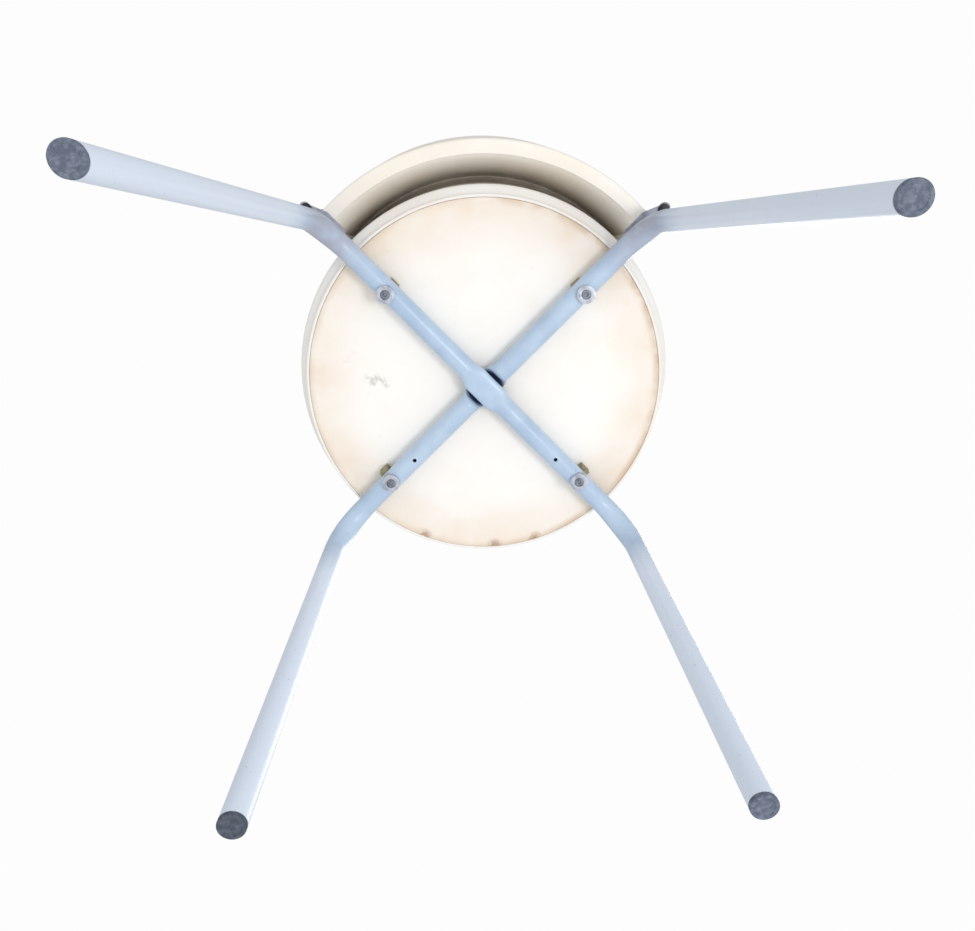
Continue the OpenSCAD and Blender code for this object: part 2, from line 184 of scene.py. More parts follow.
def rod(name, start, end, radius, sides=40):
    """A plain round cutter between two points."""
    way = (end - start).normalized()
    side = way.orthogonal().normalized()
    up = way.cross(side)
    rings = [[point + (side * math.cos(a) + up * math.sin(a)) * radius for a in turns(sides)]
             for point in (start, end)]
    return new_object(name, loft(rings))


def finish_piece(piece, material, slot, *replaced):
    """Puts a piece on the stool: its material and the node it stands for. slot is not used."""
    piece.data.materials.clear()
    piece.data.materials.append(material)
    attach(piece, "root")
    if replaced:
        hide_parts(*replaced)


# ---------------------------------------------------------------- materials

def srgb(red, green, blue):
    """A display colour, 0 to 255, as a linear one."""
    def linear(value):
        value /= 255
        return value / 12.92 if value <= 0.04045 else ((value + 0.055) / 1.055) ** 2.4
    return (linear(red), linear(green), linear(blue), 1.0)


def set_range(node, low, high, out_low, out_high):
    """Sets what a Map Range node maps, and to what."""
    for key, number in (("From Min", low), ("From Max", high),
                        ("To Min", out_low), ("To Max", out_high)):
        node.inputs[key].default_value = number


class Paint:
    """A node material, with short calls for the nodes that all of them use."""

    def __init__(self, name, roughness, specular=0.5, coat=0.0, metallic=0.0):
        self.material = bpy.data.materials.new(name)
        self.material.use_nodes = True
        self.tree = self.material.node_tree
        self.bsdf = self.tree.nodes["Principled BSDF"]
        self.bsdf.inputs["Roughness"].default_value = roughness
        self.bsdf.inputs["Specular IOR Level"].default_value = specular
        self.bsdf.inputs["Coat Weight"].default_value = coat
        self.bsdf.inputs["Metallic"].default_value = metallic
        self.place = self.node("ShaderNodeTexCoord").outputs["Object"]

    def node(self, kind, **settings):
        made = self.tree.nodes.new(kind)
        for key, value in settings.items():
            setattr(made, key, value)
        return made

    def link(self, source, target):
        self.tree.links.new(source, target)

    def noise(self, scale, detail=3.0, roughness=0.55, stretch=None):
        made = self.node("ShaderNodeTexNoise")
        made.inputs["Scale"].default_value = scale
        made.inputs["Detail"].default_value = detail
        made.inputs["Roughness"].default_value = roughness
        place = self.place
        if stretch:
            mapping = self.node("ShaderNodeMapping")
            mapping.inputs["Scale"].default_value = stretch
            self.link(place, mapping.inputs["Vector"])
            place = mapping.outputs["Vector"]
        self.link(place, made.inputs["Vector"])
        return made.outputs["Fac"]

    def spread(self, value, low, high, out_low=0.0, out_high=1.0):
        """Maps a value from low..high to out_low..out_high, on a smooth curve."""
        made = self.node("ShaderNodeMapRange", interpolation_type="SMOOTHSTEP")
        set_range(made, low, high, out_low, out_high)
        self.link(value, made.inputs["Value"])
        return made.outputs["Result"]

    def math(self, operation, a, b=None):
        """One Math node; a and b are numbers or sockets."""
        made = self.node("ShaderNodeMath", operation=operation)
        for socket, value in zip(made.inputs, (a, b)):
            if value is None:
                continue
            if isinstance(value, (int, float)):
                socket.default_value = value
            else:
                self.link(value, socket)
        return made.outputs["Value"]

    def blend(self, share, under, over):
        """over where share is 1, under where it is 0; each a colour or a socket."""
        made = self.node("ShaderNodeMix", data_type="RGBA")
        self.link(share, made.inputs["Factor"])
        for socket, value in ((made.inputs[6], under), (made.inputs[7], over)):
            if isinstance(value, tuple):
                socket.default_value = value
            else:
                self.link(value, socket)
        return made.outputs[2]

    def distance(self, point, scale=(1, 1, 1)):
        """Distance from a point of the frame, in metres, with axes weighted by scale."""
        shift = self.node("ShaderNodeMapping")
        shift.inputs["Location"].default_value = [-p * s for p, s in zip(point, scale)]
        shift.inputs["Scale"].default_value = scale
        self.link(self.place, shift.inputs["Vector"])
        length = self.node("ShaderNodeVectorMath", operation="LENGTH")
        self.link(shift.outputs["Vector"], length.inputs[0])
        return length.outputs["Value"]

    def product(self, first, *others):
        """All the values multiplied, from the left."""
        for other in others:
            first = self.math("MULTIPLY", first, other)
        return first

    def axis(self, name):
        split = self.node("ShaderNodeSeparateXYZ")
        self.link(self.place, split.inputs["Vector"])
        return split.outputs[name]

    def colour(self, value):
        if isinstance(value, tuple):
            self.bsdf.inputs["Base Color"].default_value = value
        else:
            self.link(value, self.bsdf.inputs["Base Color"])

    def rough(self, value):
        self.link(value, self.bsdf.inputs["Roughness"])

    def bump(self, height, strength=0.3, depth=0.2 * MM):
        made = self.node("ShaderNodeBump")
        made.inputs["Strength"].default_value = strength
        made.inputs["Distance"].default_value = depth
        self.link(height, made.inputs["Height"])
        self.link(made.outputs["Normal"], self.bsdf.inputs["Normal"])


def seat_plastic(name, colour, warm):
    """Off-white moulded plastic with faint clouding and a fine pebble."""
    paint = Paint(name, 0.42, specular=0.35)
    cloud = paint.spread(paint.noise(9, 3), 0.42, 0.72)
    tint = paint.blend(cloud, colour, warm)
    paint.colour(tint)
    paint.rough(paint.spread(paint.noise(60, 3), 0.3, 0.7, 0.36, 0.5))
    paint.bump(paint.noise(900, 3), 0.12, 0.15 * MM)
    return paint


def backrest_plastic():
    """The seat's plastic, with painted shade greying the inside of the channel under the backrest.
    """
    paint = seat_plastic("backrest_white", srgb(248, 244, 236), srgb(244, 236, 224))
    split = paint.node("ShaderNodeSeparateXYZ")
    shift = paint.node("ShaderNodeVectorMath", operation="SUBTRACT")
    shift.inputs[1].default_value = at(0, BACK_MID_Y, 0)
    paint.link(paint.place, shift.inputs[0])
    paint.link(shift.outputs["Vector"], split.inputs["Vector"])
    x, y, z = (split.outputs[name] for name in "XYZ")
    reach = paint.math("SQRT", paint.math("ADD", paint.product(x, x), paint.product(y, y)))
    turn = paint.math("ABSOLUTE", paint.math("ARCTAN2", x, y))
    # The channel's walls, its roof and its two ends, then how deep inside it a point is
    channel = paint.product(paint.spread(reach, (BACK_FRONT + 0.2) * MM, (BACK_FRONT + 1.2) * MM),
                            paint.spread(reach, (BACK_INNER - 0.1) * MM, (BACK_INNER - 1.1) * MM),
                            paint.spread(z, 516 * MM, 508 * MM),
                            paint.spread(turn, 0.855, 0.845))
    deep = paint.spread(z, BACK_BOTTOM, BACK_BOTTOM + 68 * MM)
    uneven = paint.spread(paint.noise(35, 4), 0.3, 0.65, 0.85, 1.0)
    # Painted shade: greyer the deeper a point lies inside the channel
    channel_shade = paint.product(channel, deep, uneven)
    plain = paint.bsdf.inputs["Base Color"].links[0].from_socket
    paint.colour(paint.blend(channel_shade, plain, srgb(158, 150, 138)))
    return paint.material


def underside_plastic():
    """The closing panel: cream, brown near its edge, with scuffs and specks."""
    paint = Paint("underside_cream", 0.45, specular=0.3)
    centre = at(0, PANEL[0], UNDERSIDE / MM)
    from_centre = paint.distance(centre, (1 / PANEL[1], 1 / PANEL[2], 0))
    radius = paint.math("DIVIDE", from_centre, MM)
    cream = srgb(252, 249, 244)
    warm = srgb(240, 224, 206)
    brown = srgb(214, 190, 166)
    scuff = srgb(184, 182, 172)
    cloud = paint.spread(paint.noise(11, 4), 0.4, 0.75)
    tint = paint.blend(paint.product(cloud, 0.25), cream, warm)
    glow = paint.spread(radius, 0.66, 1.0)
    uneven = paint.spread(paint.noise(14, 3), 0.35, 0.65, 0.45, 1.0)
    tint = paint.blend(paint.product(glow, uneven), tint, warm)
    # Brown at the very edge, more on the stool's right
    side = paint.spread(paint.axis("X"), 0.05, -0.15, 0.35, 1.0)
    rim = paint.product(paint.spread(radius, 0.955, 0.995), side)
    patchy = paint.spread(paint.noise(30, 4), 0.3, 0.6)
    tint = paint.blend(paint.product(rim, patchy), tint, brown)
    # Grey strokes rubbed onto the left half, in two patches
    for x, y, reach, strength in ((108, 1, 0.017, 0.8), (136, 31, 0.010, 0.55)):
        away = paint.distance(at(x, y, UNDERSIDE / MM), (1, 1, 0))
        patch = paint.spread(away, reach, reach * 0.25)
        strokes = paint.spread(paint.noise(80, 2, 0.5, (1.4, 1, 1)), 0.5, 0.66)
        tint = paint.blend(paint.product(patch, strokes, strength), tint, scuff)
    # Brown wear where the front edge rubs
    for x, y in ((64, -164), (-11, -176), (-53, -168)):
        away = paint.distance(at(x, y, UNDERSIDE / MM), (1, 1, 0))
        worn = paint.spread(away, 0.011, 0.002)
        patchy = paint.spread(paint.noise(130, 3), 0.35, 0.6)
        tint = paint.blend(paint.product(worn, patchy, 0.8), tint, srgb(176, 142, 114))
    specks = paint.spread(paint.noise(420, 1), 0.76, 0.80)
    tint = paint.blend(paint.product(specks, 0.35), tint, brown)
    paint.colour(tint)
    paint.rough(paint.spread(paint.noise(70, 3), 0.3, 0.7, 0.38, 0.55))
    paint.bump(paint.noise(700, 3), 0.15, 0.15 * MM)
    return paint.material


def tube_enamel():
    """Pale blue enamel: clouded, chipped, orange-peeled, and greyer at the rear bends, with painted
    light on the legs and painted shade in the crossing's hollows.
    """
    paint = Paint("pale_blue_enamel", 0.38, specular=0.4, coat=0.12)
    paint.bsdf.inputs["Coat Roughness"].default_value = 0.25
    blue = srgb(188, 208, 230)
    deep = srgb(173, 195, 220)
    pale = srgb(222, 233, 249)
    grey = srgb(170, 175, 192)
    hollow_shade = srgb(40, 52, 82)
    cloud = paint.spread(paint.noise(26, 4), 0.35, 0.7)
    tint = paint.blend(cloud, blue, deep)
    # Painted light: the legs are painted paler than the runs under the seat, as light falls on them
    # more
    legs_painted_light = paint.spread(paint.axis("Z"), RUN_Z * MM - 30 * MM, RUN_Z * MM - 110 * MM)
    tint = paint.blend(legs_painted_light, tint, pale)
    for leg in ("rear_left", "rear_right"):
        worn = paint.spread(paint.distance(BENDS[leg]), 0.075, 0.02)
        patchy = paint.spread(paint.noise(55, 4), 0.3, 0.6, 0.55, 1.0)
        tint = paint.blend(paint.product(worn, patchy), tint, grey)
    # Painted shade in the pressed hollows of the crossing
    hollow = paint.spread(paint.distance(CROSSING + Vector((0, 0, -2 * MM))), 0.021, 0.016)
    inside = paint.spread(paint.axis("Z"), CROSSING.z - 7.5 * MM, CROSSING.z - 3 * MM)
    tint = paint.blend(paint.product(hollow, inside), tint, hollow_shade)
    chips = paint.spread(paint.noise(330, 2), 0.73, 0.76)
    tint = paint.blend(paint.product(chips, 0.5), tint, srgb(120, 122, 130))
    paint.colour(tint)
    paint.rough(paint.spread(paint.noise(90, 3), 0.3, 0.7, 0.28, 0.42))
    paint.bump(paint.noise(420, 2), 0.10, 0.1 * MM)
    return paint.material


def plain_plastic(name, colour, dusty, roughness=0.5, grain=500, dust_scale=120, dark_by=None):
    """Moulded plastic or rubber with dust in a second colour, darker near one place if asked."""
    paint = Paint(name, roughness, specular=0.35)
    tint = paint.blend(paint.spread(paint.noise(dust_scale, 4, 0.6), 0.4, 0.7), colour, dusty)
    if dark_by:
        near = paint.spread(paint.distance(dark_by), 0.06, 0.03, 0.0, 0.5)
        tint = paint.blend(near, tint, srgb(38, 42, 50))
    paint.colour(tint)
    paint.rough(paint.spread(paint.noise(80, 3), 0.3, 0.7, roughness - 0.08, roughness + 0.1))
    paint.bump(paint.noise(grain, 3), 0.3, 0.2 * MM)
    return paint.material


def metal(name, colour, dull, roughness=0.3):
    """Bare or plated metal with fine turning marks and dull patches."""
    paint = Paint(name, roughness, metallic=0.85)
    tint = paint.blend(paint.spread(paint.noise(180, 4), 0.4, 0.7), colour, dull)
    paint.colour(tint)
    paint.rough(paint.spread(paint.noise(260, 3), 0.3, 0.7, roughness - 0.08, roughness + 0.15))
    paint.bump(paint.noise(1500, 2, stretch=(1, 1, 0.2)), 0.15, 0.05 * MM)
    return paint.material


SEAT_WHITE = seat_plastic("seat_white", srgb(246, 244, 240), srgb(243, 237, 228)).material
BACK_WHITE = backrest_plastic()
UNDER_CREAM = underside_plastic()
ENAMEL = tube_enamel()
# The brackets take the tubes' blue darkened to grey-blue: painted shade for parts behind the tubes
BRACKET_SHADE = plain_plastic("bracket_shaded_enamel", srgb(164, 168, 184), srgb(126, 130, 142), 0.45, 400, 90)
# The saddles are painted olive-brown as painted shade under the tubes; their plastic is cream
SADDLE_SHADE = plain_plastic("olive_plastic", srgb(150, 142, 110), srgb(118, 100, 76), 0.6)
SLATE = plain_plastic("slate_rubber", srgb(92, 101, 118), srgb(124, 132, 148), 0.7, 700, 260,
                      dark_by=FEET["front_left"])
BLACK = plain_plastic("black_plastic", srgb(26, 26, 28), srgb(48, 46, 46), 0.45)
WASHER = metal("plated_steel", srgb(196, 201, 212), srgb(164, 170, 182), 0.42)
SCREW = metal("dull_steel", srgb(142, 148, 160), srgb(108, 114, 126), 0.5)
BRASS = metal("turned_brass", srgb(204, 170, 96), srgb(168, 132, 66), 0.32)


# ---------------------------------------------------------------- leg tubes

TUBE_SIDES = 72
BEND_STEPS = 26
LEG_STEP = 20 * MM
RUN_STEP = 2 * MM


def bend_tangent(before, corner, after):
    """How far before the corner the bend starts."""
    turn = (corner - before).angle(after - corner)
    return BEND_R * math.tan(turn / 2)


def station(point, way, half_w=TUBE_R, half_h=TUBE_R, power=1.0, lift=0.0):
    """A place on a tube's centre line, and the tube's section there."""
    return point, way, half_w, half_h, power, lift


def bend_stations(before, corner, after):
    """Stations round a bend; the tube spreads a little on its sides there."""
    first = (corner - before).normalized()
    last = (after - corner).normalized()
    turn = first.angle(last)
    inward = first.cross(last).normalized().cross(first)
    centre = corner - first * bend_tangent(before, corner, after) + inward * BEND_R
    made = []
    for step in range(BEND_STEPS + 1):
        share = step / BEND_STEPS
        angle = turn * share
        spread = math.sin(math.pi * share) ** 2
        point = centre + (first * math.sin(angle) - inward * math.cos(angle)) * BEND_R
        way = first * math.cos(angle) + inward * math.sin(angle)
        made.append(station(point, way, TUBE_R * (1 + 0.10 * spread),
                            TUBE_R * (1 - 0.07 * spread)))
    return made


def leg_stations(start, end):
    """Evenly spaced stations strictly between the two ends of a straight leg."""
    count = max(1, round((end - start).length / LEG_STEP))
    way = (end - start).normalized()
    return [station(start + (end - start) * k / count, way) for k in range(1, count)]


def run_stations(start, end, above):
    """The run across the stool, pressed flat where the other tube crosses it."""
    way = (end - start).normalized()
    count = round((end - start).length / RUN_STEP)
    press_half = PRESS_HALF_UPPER if above else PRESS_HALF
    made = []
    for k in range(count + 1):
        point = start + (end - start) * k / count
        press = 1 - smooth(FLAT_HALF, press_half, (point - CROSSING).length)
        half_w = TUBE_R + (FLAT_W / 2 - TUBE_R) * press
        half_h = TUBE_R * (1 - 0.5 * press)
        lift = (0.5 if above else -0.5) * TUBE_R * press
        made.append(station(point, way, half_w, half_h, 1 - 0.3 * press, lift))
    return made


def ring(made, wall, level=None):
    """Points round a station, inside by wall; level slides them along the tube to a height."""
    point, way, half_w, half_h, power, lift = made
    side = way.cross(Vector((0, 0, 1))).normalized()
    up = side.cross(way)
    points = []
    for angle in turns(TUBE_SIDES):
        spot = (point + Vector((0, 0, lift))
                + side * (half_w - wall) * keep_pow(math.cos(angle), power)
                + up * (half_h - wall) * keep_pow(math.sin(angle), power))
        if level is not None:
            spot += way * (level - spot.z) / way.z
        points.append(spot)
    return points


def leg_tube(name, first, second, above):
    """A bent tube from one foot to another, with its holes drilled."""
    start, end = FEET[first], FEET[second]
    corner_a, corner_b = BENDS[first], BENDS[second]
    bend_a = bend_stations(start, corner_a, corner_b)
    bend_b = bend_stations(corner_a, corner_b, end)
    path = ([station(start, (corner_a - start).normalized())]
            + leg_stations(start, bend_a[0][0]) + bend_a
            + run_stations(bend_a[-1][0], bend_b[0][0], above)[1:-1]
            + bend_b + leg_stations(bend_b[-1][0], end)
            + [station(end, (end - corner_b).normalized())])
    levels = [FOOT_FLANGE] + [None] * (len(path) - 2) + [FOOT_FLANGE]
    outer = [ring(made, 0, level) for made, level in zip(path, levels)]
    inner = [ring(made, TUBE_WALL, level) for made, level in zip(path, levels)]
    tube = new_object(name, loft(outer + inner[::-1], closed_path=True), 50)
    cutters = []
    for x in (SCREW_AT, -SCREW_AT):
        y = -x if above else x
        cutters.append(rod("hole", at(x, y, RUN_Z - 20), at(x, y, RUN_Z + 20), SCREW_HOLE_R))
    # The drain hole goes through the lower wall only, in the front half
    drain = CROSSING + (corner_b - corner_a).normalized() * DRAIN_AT
    cutters.append(rod("drain", drain, drain - Vector((0, 0, 20 * MM)), DRAIN_R, 28))
    cut(tube, cutters)
    finish_piece(tube, ENAMEL, "blue_paint", name)


leg_tube("leg_tube_lower", "rear_left", "front_right", False)
leg_tube("leg_tube_upper", "rear_right", "front_left", True)


# ---------------------------------------------------------------- feet

FOOT_SIDES = 64
PLUG_SHARE = (TUBE_R - TUBE_WALL - 0.1 * MM) / TUBE_R
# Height in mm and share of the tube's section, from the dish round to the plug's top
FOOT_PROFILE = [
    (0.7, 0), (0.7, 0.30), (0.7, 0.60), (0.6, 0.68), (0.15, 0.72), (0, 0.76), (0, 0.90),
    (0.12, 0.95), (0.5, 0.985), (1.0, 1.0), (3.2, 1.0), (3.7, 0.985), (4, 0.96),
    (4, PLUG_SHARE), (8, PLUG_SHARE), (12, PLUG_SHARE), (12.5, PLUG_SHARE * 0.97),
    (14, PLUG_SHARE * 0.97), (14.5, PLUG_SHARE), (19, PLUG_SHARE), (20, PLUG_SHARE * 0.9), (20, 0)]


def foot(leg):
    """Rubber foot: a flange cut level with the floor, ridged round a shallow dish, and a plug."""
    bottom = FEET[leg]
    way = (BENDS[leg] - bottom).normalized()
    side = way.cross(Vector((0, 0, 1))).normalized()
    along = Vector((way.x, way.y, 0)).normalized()
    rings = []
    for height, share in FOOT_PROFILE:
        centre = bottom + way * (height * MM / way.z)
        if share == 0:
            rings.append([centre])
            continue
        rings.append([centre + (side * math.cos(a) + along * math.sin(a) / way.z) * TUBE_R * share
                      for a in turns(FOOT_SIDES)])
    piece = new_object("foot_" + leg, loft(rings), 35)
    finish_piece(piece, SLATE, "slate_rubber", "foot_" + leg)


for leg_name in FEET:
    foot(leg_name)


# ---------------------------------------------------------------- seat

OVAL_SIDES = 160


def oval(middle_y, half_w, half_d, z):
    """A level oval ring, in mm from the crossing."""
    return [at(half_w * math.cos(a), middle_y + half_d * math.sin(a), z)
            for a in turns(OVAL_SIDES)]


# Ovals, written like the panel's
LIP = (2, 176.9, 181.9)
RIM = (6, 184, 186)
LOW = UNDERSIDE / MM
HIGH = SEAT_TOP / MM
PANEL_THICK = 7.5
PANEL_STEP = 0.4
# Heights above the panel's face where the bulge starts and where the rim is widest
BULGE_FROM = 4
BULGE_TO = 17
RIM_INSET = 14
DISH = 3.0


def panel_oval(inset, z):
    return oval(PANEL[0], PANEL[1] - inset, PANEL[2] - inset, z)


def seat_panel():
    """Panel with a rounded edge, a faint moulded step inside it and screw holes."""
    # Inset from the edge and height, from the back of the panel round to its face
    steps = [(4, PANEL_THICK), (0.4, 7.0), (0, 6.0), (0, 1.6), (0.3, 0.8), (1.0, 0.25), (2.2, 0.0),
             (5, 0.0), (6.5, 0.35), (8, 0.5), (40, 0.5), (80, 0.45), (120, 0.4), (173, PANEL_STEP)]
    rings = [[at(0, PANEL[0], LOW + PANEL_THICK)]]
    rings += [panel_oval(inset, LOW + z) for inset, z in steps]
    rings.append([at(0, PANEL[0], LOW + PANEL_STEP)])
    piece = new_object("seat_base", loft(rings), 30)
    corners = [(x, y) for x in (SCREW_AT, -SCREW_AT) for y in (SCREW_AT, -SCREW_AT)]
    cut(piece, [rod("hole", at(x, y, LOW - 5), at(x, y, LOW + 12), PANEL_HOLE_R)
                for x, y in corners])
    finish_piece(piece, UNDER_CREAM, "base_cream", "seat_base")


def seat_shell():
    """Moulded seat: lip round the panel, bulging rim and a shallow dish on top."""
    def between(share, inset, z):
        """An oval that share of the way from the lip to the rim, drawn in by inset."""
        middle, half_w, half_d = (a + (b - a) * share for a, b in zip(LIP, RIM))
        return oval(middle, half_w - inset, half_d - inset, z)

    # The recess that holds the panel, then the lip round it
    recess = LOW + PANEL_THICK + 0.2
    rings = [[at(0, PANEL[0], recess)], panel_oval(-0.15, recess)]
    rings += [panel_oval(inset, LOW + z) for inset, z in ((-0.2, 1.5), (-0.5, 0.9), (-1.2, 0.6),
                                                          (-2.1, 0.8))]
    rings += [between(0, 0, LOW + 1.6), between(0.02, 0, LOW + BULGE_FROM)]
    # From the lip out to the bulge, then over the rounded rim
    for k in range(1, 9):
        share = k / 8
        z = LOW + BULGE_FROM + (BULGE_TO - BULGE_FROM) * share
        rings.append(between(smooth(0, 1, share), 0, z))
    for k in range(1, 13):
        angle = math.radians(7.5 * k)
        z = LOW + BULGE_TO + (HIGH - LOW - BULGE_TO) * math.sin(angle)
        rings.append(between(1, RIM_INSET * (1 - math.cos(angle)), z))
    for inset in (18, 24, 32, 44, 60, 80, 105, 135, 165, 182):
        rings.append(between(1, inset, HIGH - DISH * smooth(RIM_INSET, 110, inset)))
    rings.append([at(0, RIM[0], HIGH - DISH)])
    piece = new_object("seat_top", loft(rings), 35)
    finish_piece(piece, SEAT_WHITE, "seat_white", "seat_top")


seat_panel()
seat_shell()


# ---------------------------------------------------------------- backrest

BACK_HALF = math.radians(50.5)
BACK_STEPS = 150
BACK_LOW = BACK_BOTTOM / MM
BACK_HIGH = BACK_TOP / MM
# Heights of the front's lower edge, of the foot of the rounded shoulder and of the channel's roof
FRONT_LOW = BACK_LOW + 18
SHOULDER_Z = BACK_HIGH - 35
ROOF_Z = BACK_LOW + 60
# Over these lengths the ends round off: in plan, at the corners and along the edges
END_PLAN = 12
END_CORNER = 16
END_EDGE = 4


def rounded(corners, steps=5):
    """Points through (r, z, ease) corners, each eased over that length on both sides."""
    points = []
    for k, (r, z, ease) in enumerate(corners):
        if not ease:
            points.append((r, z))
            continue
        here = Vector((r, z))
        before = (Vector(corners[k - 1][:2]) - here).normalized() * ease + here
        after = (Vector(corners[(k + 1) % len(corners)][:2]) - here).normalized() * ease + here
        for step in range(steps + 1):
            share = step / steps
            spot = before * (1 - share) ** 2 + here * 2 * share * (1 - share) + after * share ** 2
            points.append(tuple(spot))
    return points


def web(share):
    """The sloping inner wall of the channel, from its foot at 0 to the roof at 1."""
    return BACK_INNER - 24 * share, BACK_LOW + 2 + 65 * share ** 1.3


def back_section(opened):
    """Closed section of the backrest; its channel is as deep as opened, 0 to 1."""
    # Corners are (r, z, ease); the shoulder is a quarter of an ellipse
    shoulder = [(BACK_INNER - (BACK_INNER - BACK_FRONT) * math.sin(math.radians(a)),
                 SHOULDER_Z + (BACK_HIGH - SHOULDER_Z) * math.cos(math.radians(a)), 0)
                for a in range(6, 91, 6)]
    outside = [(BACK_R, BACK_LOW, 3), (BACK_R, BACK_HIGH, 5), (BACK_INNER, BACK_HIGH, 0)] + shoulder
    outside += [(BACK_FRONT - 5, FRONT_LOW, 1.4), (BACK_FRONT - 2.2, FRONT_LOW, 1.2)]
    channel = [(BACK_FRONT + 2, ROOF_Z, 4), (*web(1), 3)]
    channel += [(*web(share), 0) for share in (0.9, 0.8, 0.7, 0.62, 0.54, 0.46, 0.4, 0.34)]
    channel = [(r, FRONT_LOW + (z - FRONT_LOW) * opened, ease * opened + 0.01)
               for r, z, ease in channel]
    web_foot = [(*web(share), 0) for share in (0.27, 0.2, 0.13, 0.07)]
    web_foot += [(*web(0), 0.7), (BACK_INNER, BACK_LOW, 0.8)]
    return rounded(outside + channel + web_foot)


def rounding(to_end, length):
    """How much a round end has taken away: 1 at the end itself, 0 a length before it."""
    return 1 - math.sqrt(max(0.0, 1 - (1 - min(1.0, to_end / length)) ** 2))


def backrest():
    """Moulded backrest with its open channel, swept round its arc and rounded off at its ends."""
    rings = []
    for k in range(BACK_STEPS + 1):
        # Stations gather towards the ends, where the section shrinks
        share = -math.cos(math.pi * k / BACK_STEPS)
        angle = BACK_HALF * share
        to_end = (1 - abs(share)) * BACK_HALF * BACK_R
        plan, corner, edge = (rounding(to_end, length)
                              for length in (END_PLAN, END_CORNER, END_EDGE))
        low = BACK_LOW + 6 * corner
        high = BACK_HIGH - 16 * corner
        points = []
        for r, z in back_section(smooth(3.5, 5.5, to_end)):
            if r < BACK_INNER:
                r = BACK_INNER - (BACK_INNER - r) * (1 - 0.4 * plan)
            r += 4 * edge * (1 if r < BACK_R - 7 else -1)
            z = low + (high - low) * (z - BACK_LOW) / (BACK_HIGH - BACK_LOW)
            points.append(at(r * math.sin(angle), BACK_MID_Y + r * math.cos(angle), z))
        rings.append(points)
    piece = new_object("backrest", loft(rings), 50)
    finish_piece(piece, BACK_WHITE, "seat_white", "backrest")


backrest()


# ---------------------------------------------------------------- fittings

SADDLE_SHRINK = 0.07
BRACKET_SHRINK = 0.13
PLUG_SCALE = 0.88
PLUG_INWARD = 1.5 * MM


def eased(node, material, slot, width):
    """A copy of the CAD node's shape with its edges rounded."""
    mesh = nodes[node].data.copy()
    piece = bpy.data.objects.new("eased_" + node, mesh)
    bpy.context.scene.collection.objects.link(piece)
    bm = bmesh.new()
    bm.from_mesh(mesh)
    bmesh.ops.remove_doubles(bm, verts=bm.verts, dist=1e-5)
    bmesh.ops.dissolve_limit(bm, angle_limit=math.radians(0.6), verts=bm.verts, edges=bm.edges)
    for face in bm.faces:
        face.smooth = True
    bm.to_mesh(mesh)
    bm.free()
    bevel = piece.modifiers.new("ease", "BEVEL")
    bevel.width = width
    bevel.segments = 3
    bevel.limit_method = "ANGLE"
    bevel.angle_limit = math.radians(40)
    bevel.harden_normals = True
    apply_all(piece)
    finish_piece(piece, material, slot, node)
    return piece


def box_middle(node):
    """The middle of a CAD node's box."""
    low, high = (Vector(corner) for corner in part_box(node))
    return (low + high) / 2


for corner_name in FEET:
    saddle = eased("saddle_" + corner_name, SADDLE_SHADE, "olive_plastic", 0.8 * MM)
    hub = box_middle("saddle_" + corner_name)
    for vertex in saddle.data.vertices:
        vertex.co.xy -= (vertex.co.xy - hub.xy) * SADDLE_SHRINK
for side_name in ("left", "right"):
    eased("post_" + side_name, ENAMEL, "blue_paint", 0.25 * MM)
    bracket = eased("post_bracket_" + side_name, BRACKET_SHADE, "bracket_paint", 0.9 * MM)
    plug = eased("post_plug_" + side_name, BLACK, "black_plastic", 0.9 * MM)
    # The bracket is slimmer than its CAD shape, and the plug smaller and further in
    outward = (BENDS["rear_" + side_name] - CROSSING).normalized()
    across = outward.cross(Vector((0, 0, 1)))
    for vertex in bracket.data.vertices:
        vertex.co -= across * (vertex.co - CROSSING).dot(across) * BRACKET_SHRINK
    hub = box_middle("post_plug_" + side_name)
    for vertex in plug.data.vertices:
        vertex.co = hub + (vertex.co - hub) * PLUG_SCALE - outward * PLUG_INWARD
eased("leg_washers", WASHER, "steel_washer", 0.6 * MM)
eased("leg_screws", SCREW, "dark_steel", 0.3 * MM)
eased("backrest_screws", WASHER, "steel_washer", 0.25 * MM)
nodes["seat_inserts"].data.materials.clear()
nodes["seat_inserts"].data.materials.append(BRASS)


# ---------------------------------------------------------------- stage, light and camera

FLOOR_HALF = 6.0
FLOOR_FADE = 0.3
FLOOR_GLOW = 0.2


def floor():
    """Pale floor that stops no light, fades at its rim, and is clear from below: the
    camera looks up through it at the underside."""
    bm = bmesh.new()
    bm.faces.new([bm.verts.new((FLOOR_HALF * x, FLOOR_HALF * y, 0))
                  for x, y in ((-1, -1), (1, -1), (1, 1), (-1, 1))])
    mesh = bpy.data.meshes.new("floor")
    bm.to_mesh(mesh)
    bm.free()
    plane = bpy.data.objects.new("floor", mesh)
    bpy.context.scene.collection.objects.link(plane)
    paint = Paint("floor", 0.9, specular=0.0)
    paint.colour(srgb(240, 240, 240))
    paint.bsdf.inputs["Emission Color"].default_value = (1, 1, 1, 1)
    paint.bsdf.inputs["Emission Strength"].default_value = FLOOR_GLOW
    clear = paint.node("ShaderNodeBsdfTransparent")
    facing = paint.node("ShaderNodeNewGeometry")
    rim = paint.spread(paint.distance((0, 0, 0)), FLOOR_FADE * FLOOR_HALF, 0.95 * FLOOR_HALF)
    hidden = paint.math("MAXIMUM", facing.outputs["Backfacing"], rim)
    choose = paint.node("ShaderNodeMixShader")
    paint.link(hidden, choose.inputs[0])
    paint.link(paint.bsdf.outputs[0], choose.inputs[1])
    paint.link(clear.outputs[0], choose.inputs[2])
    paint.link(choose.outputs[0], paint.tree.nodes["Material Output"].inputs["Surface"])
    mesh.materials.append(paint.material)
    for ray in ("diffuse", "glossy", "transmission", "volume_scatter", "shadow"):
        setattr(plane, "visible_" + ray, False)


floor()


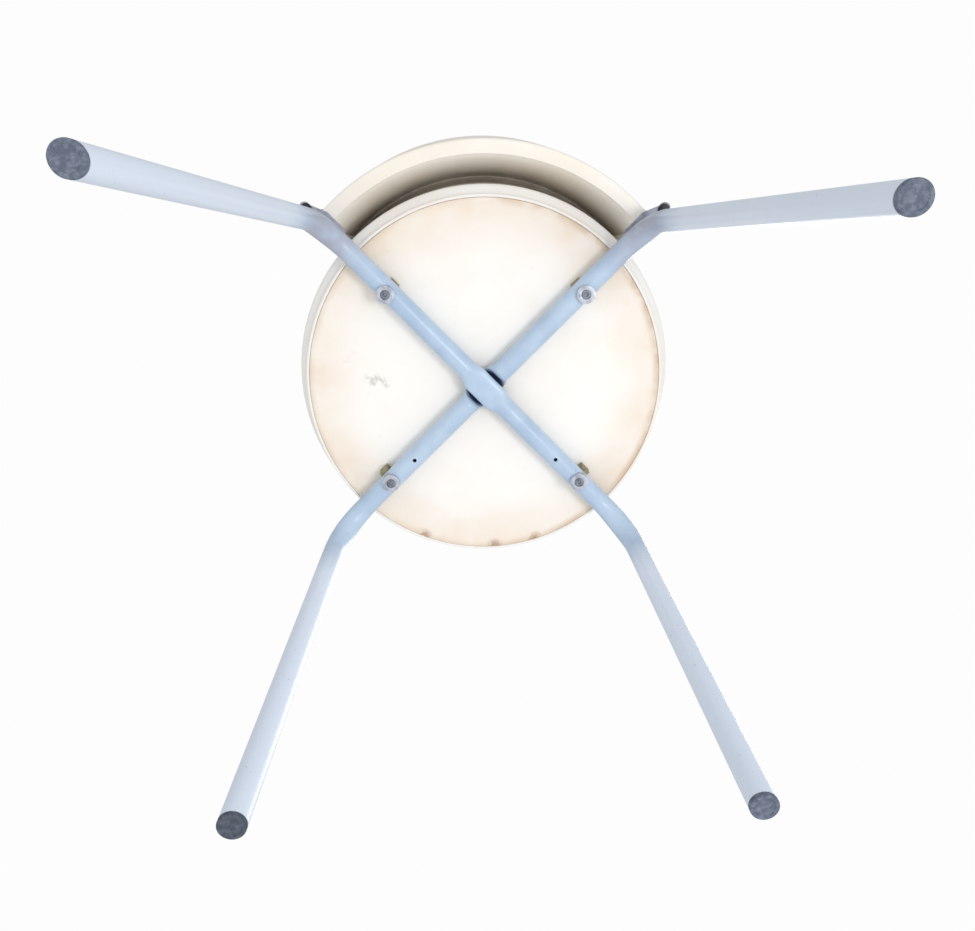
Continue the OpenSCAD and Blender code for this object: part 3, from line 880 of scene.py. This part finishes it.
def area_light(name, place, target, size, power):
    """A round lamp that shines from its place at its target."""
    data = bpy.data.lights.new(name, "AREA")
    data.shape = "DISK"
    data.size = size
    data.energy = power
    lamp = bpy.data.objects.new(name, data)
    lamp.location = place
    lamp.rotation_euler = (Vector(target) - Vector(place)).to_track_quat("-Z", "Y").to_euler()
    bpy.context.scene.collection.objects.link(lamp)


SEAT_PLACE = at(0, 0, 440)
area_light("key", SEAT_PLACE + Vector((-1.05, 0.45, -2.2)), SEAT_PLACE, 0.7, 15)
area_light("top", SEAT_PLACE + Vector((-1.3, -1.2, 2.2)), SEAT_PLACE, 1.6, 26)

# How strongly the surroundings light the stool, from the sides or above and from straight below
LIGHT_SIDES = 0.63
LIGHT_BELOW = 0.98

world = bpy.data.worlds.new("studio")
world.use_nodes = True
sky = world.node_tree
lighting = sky.nodes["Background"]
lighting.inputs["Color"].default_value = (1.0, 1.0, 1.0, 1)
# Soft light from all round, strongest from below; the camera sees a plain pale background
direction = sky.nodes.new("ShaderNodeTexCoord")
heights = sky.nodes.new("ShaderNodeSeparateXYZ")
strengths = sky.nodes.new("ShaderNodeMapRange")
set_range(strengths, 0.0, -1.0, LIGHT_SIDES, LIGHT_BELOW)
sky.links.new(direction.outputs["Generated"], heights.inputs["Vector"])
sky.links.new(heights.outputs["Z"], strengths.inputs["Value"])
sky.links.new(strengths.outputs["Result"], lighting.inputs["Strength"])
seen = sky.nodes.new("ShaderNodeBackground")
seen.inputs["Color"].default_value = srgb(253, 253, 253)
seen.inputs["Strength"].default_value = 1.0
ray_kind = sky.nodes.new("ShaderNodeLightPath")
pick = sky.nodes.new("ShaderNodeMixShader")
sky.links.new(ray_kind.outputs["Is Camera Ray"], pick.inputs[0])
sky.links.new(lighting.outputs[0], pick.inputs[1])
sky.links.new(seen.outputs[0], pick.inputs[2])
sky.links.new(pick.outputs[0], sky.nodes["World Output"].inputs["Surface"])
bpy.context.scene.world = world

view_settings = bpy.context.scene.view_settings
view_settings.view_transform = "Standard"
view_settings.look = "None"
view_settings.exposure = 0.0

# Below the stool and a little behind it, looking up at the underside
CAMERA_PLACE = at(24.0, 251.0, -507.3)
CAMERA_BACK = Vector((0.0273, 0.3410, -0.9397)).normalized()
CAMERA_RIGHT = Vector((-0.9996, 0.0038, -0.0276))
CAMERA_LENS = 35.446

camera_data = bpy.data.cameras.new("camera")
camera_data.sensor_width = 36.0
camera_data.lens = CAMERA_LENS
camera_data.clip_start = 0.01
camera_data.dof.use_dof = False
camera = bpy.data.objects.new("camera", camera_data)
right = (CAMERA_RIGHT - CAMERA_BACK * CAMERA_RIGHT.dot(CAMERA_BACK)).normalized()
turned = Matrix((right, CAMERA_BACK.cross(right), CAMERA_BACK)).transposed()
camera.matrix_world = Matrix.Translation(CAMERA_PLACE) @ turned.to_4x4()
bpy.context.scene.collection.objects.link(camera)
bpy.context.scene.camera = camera
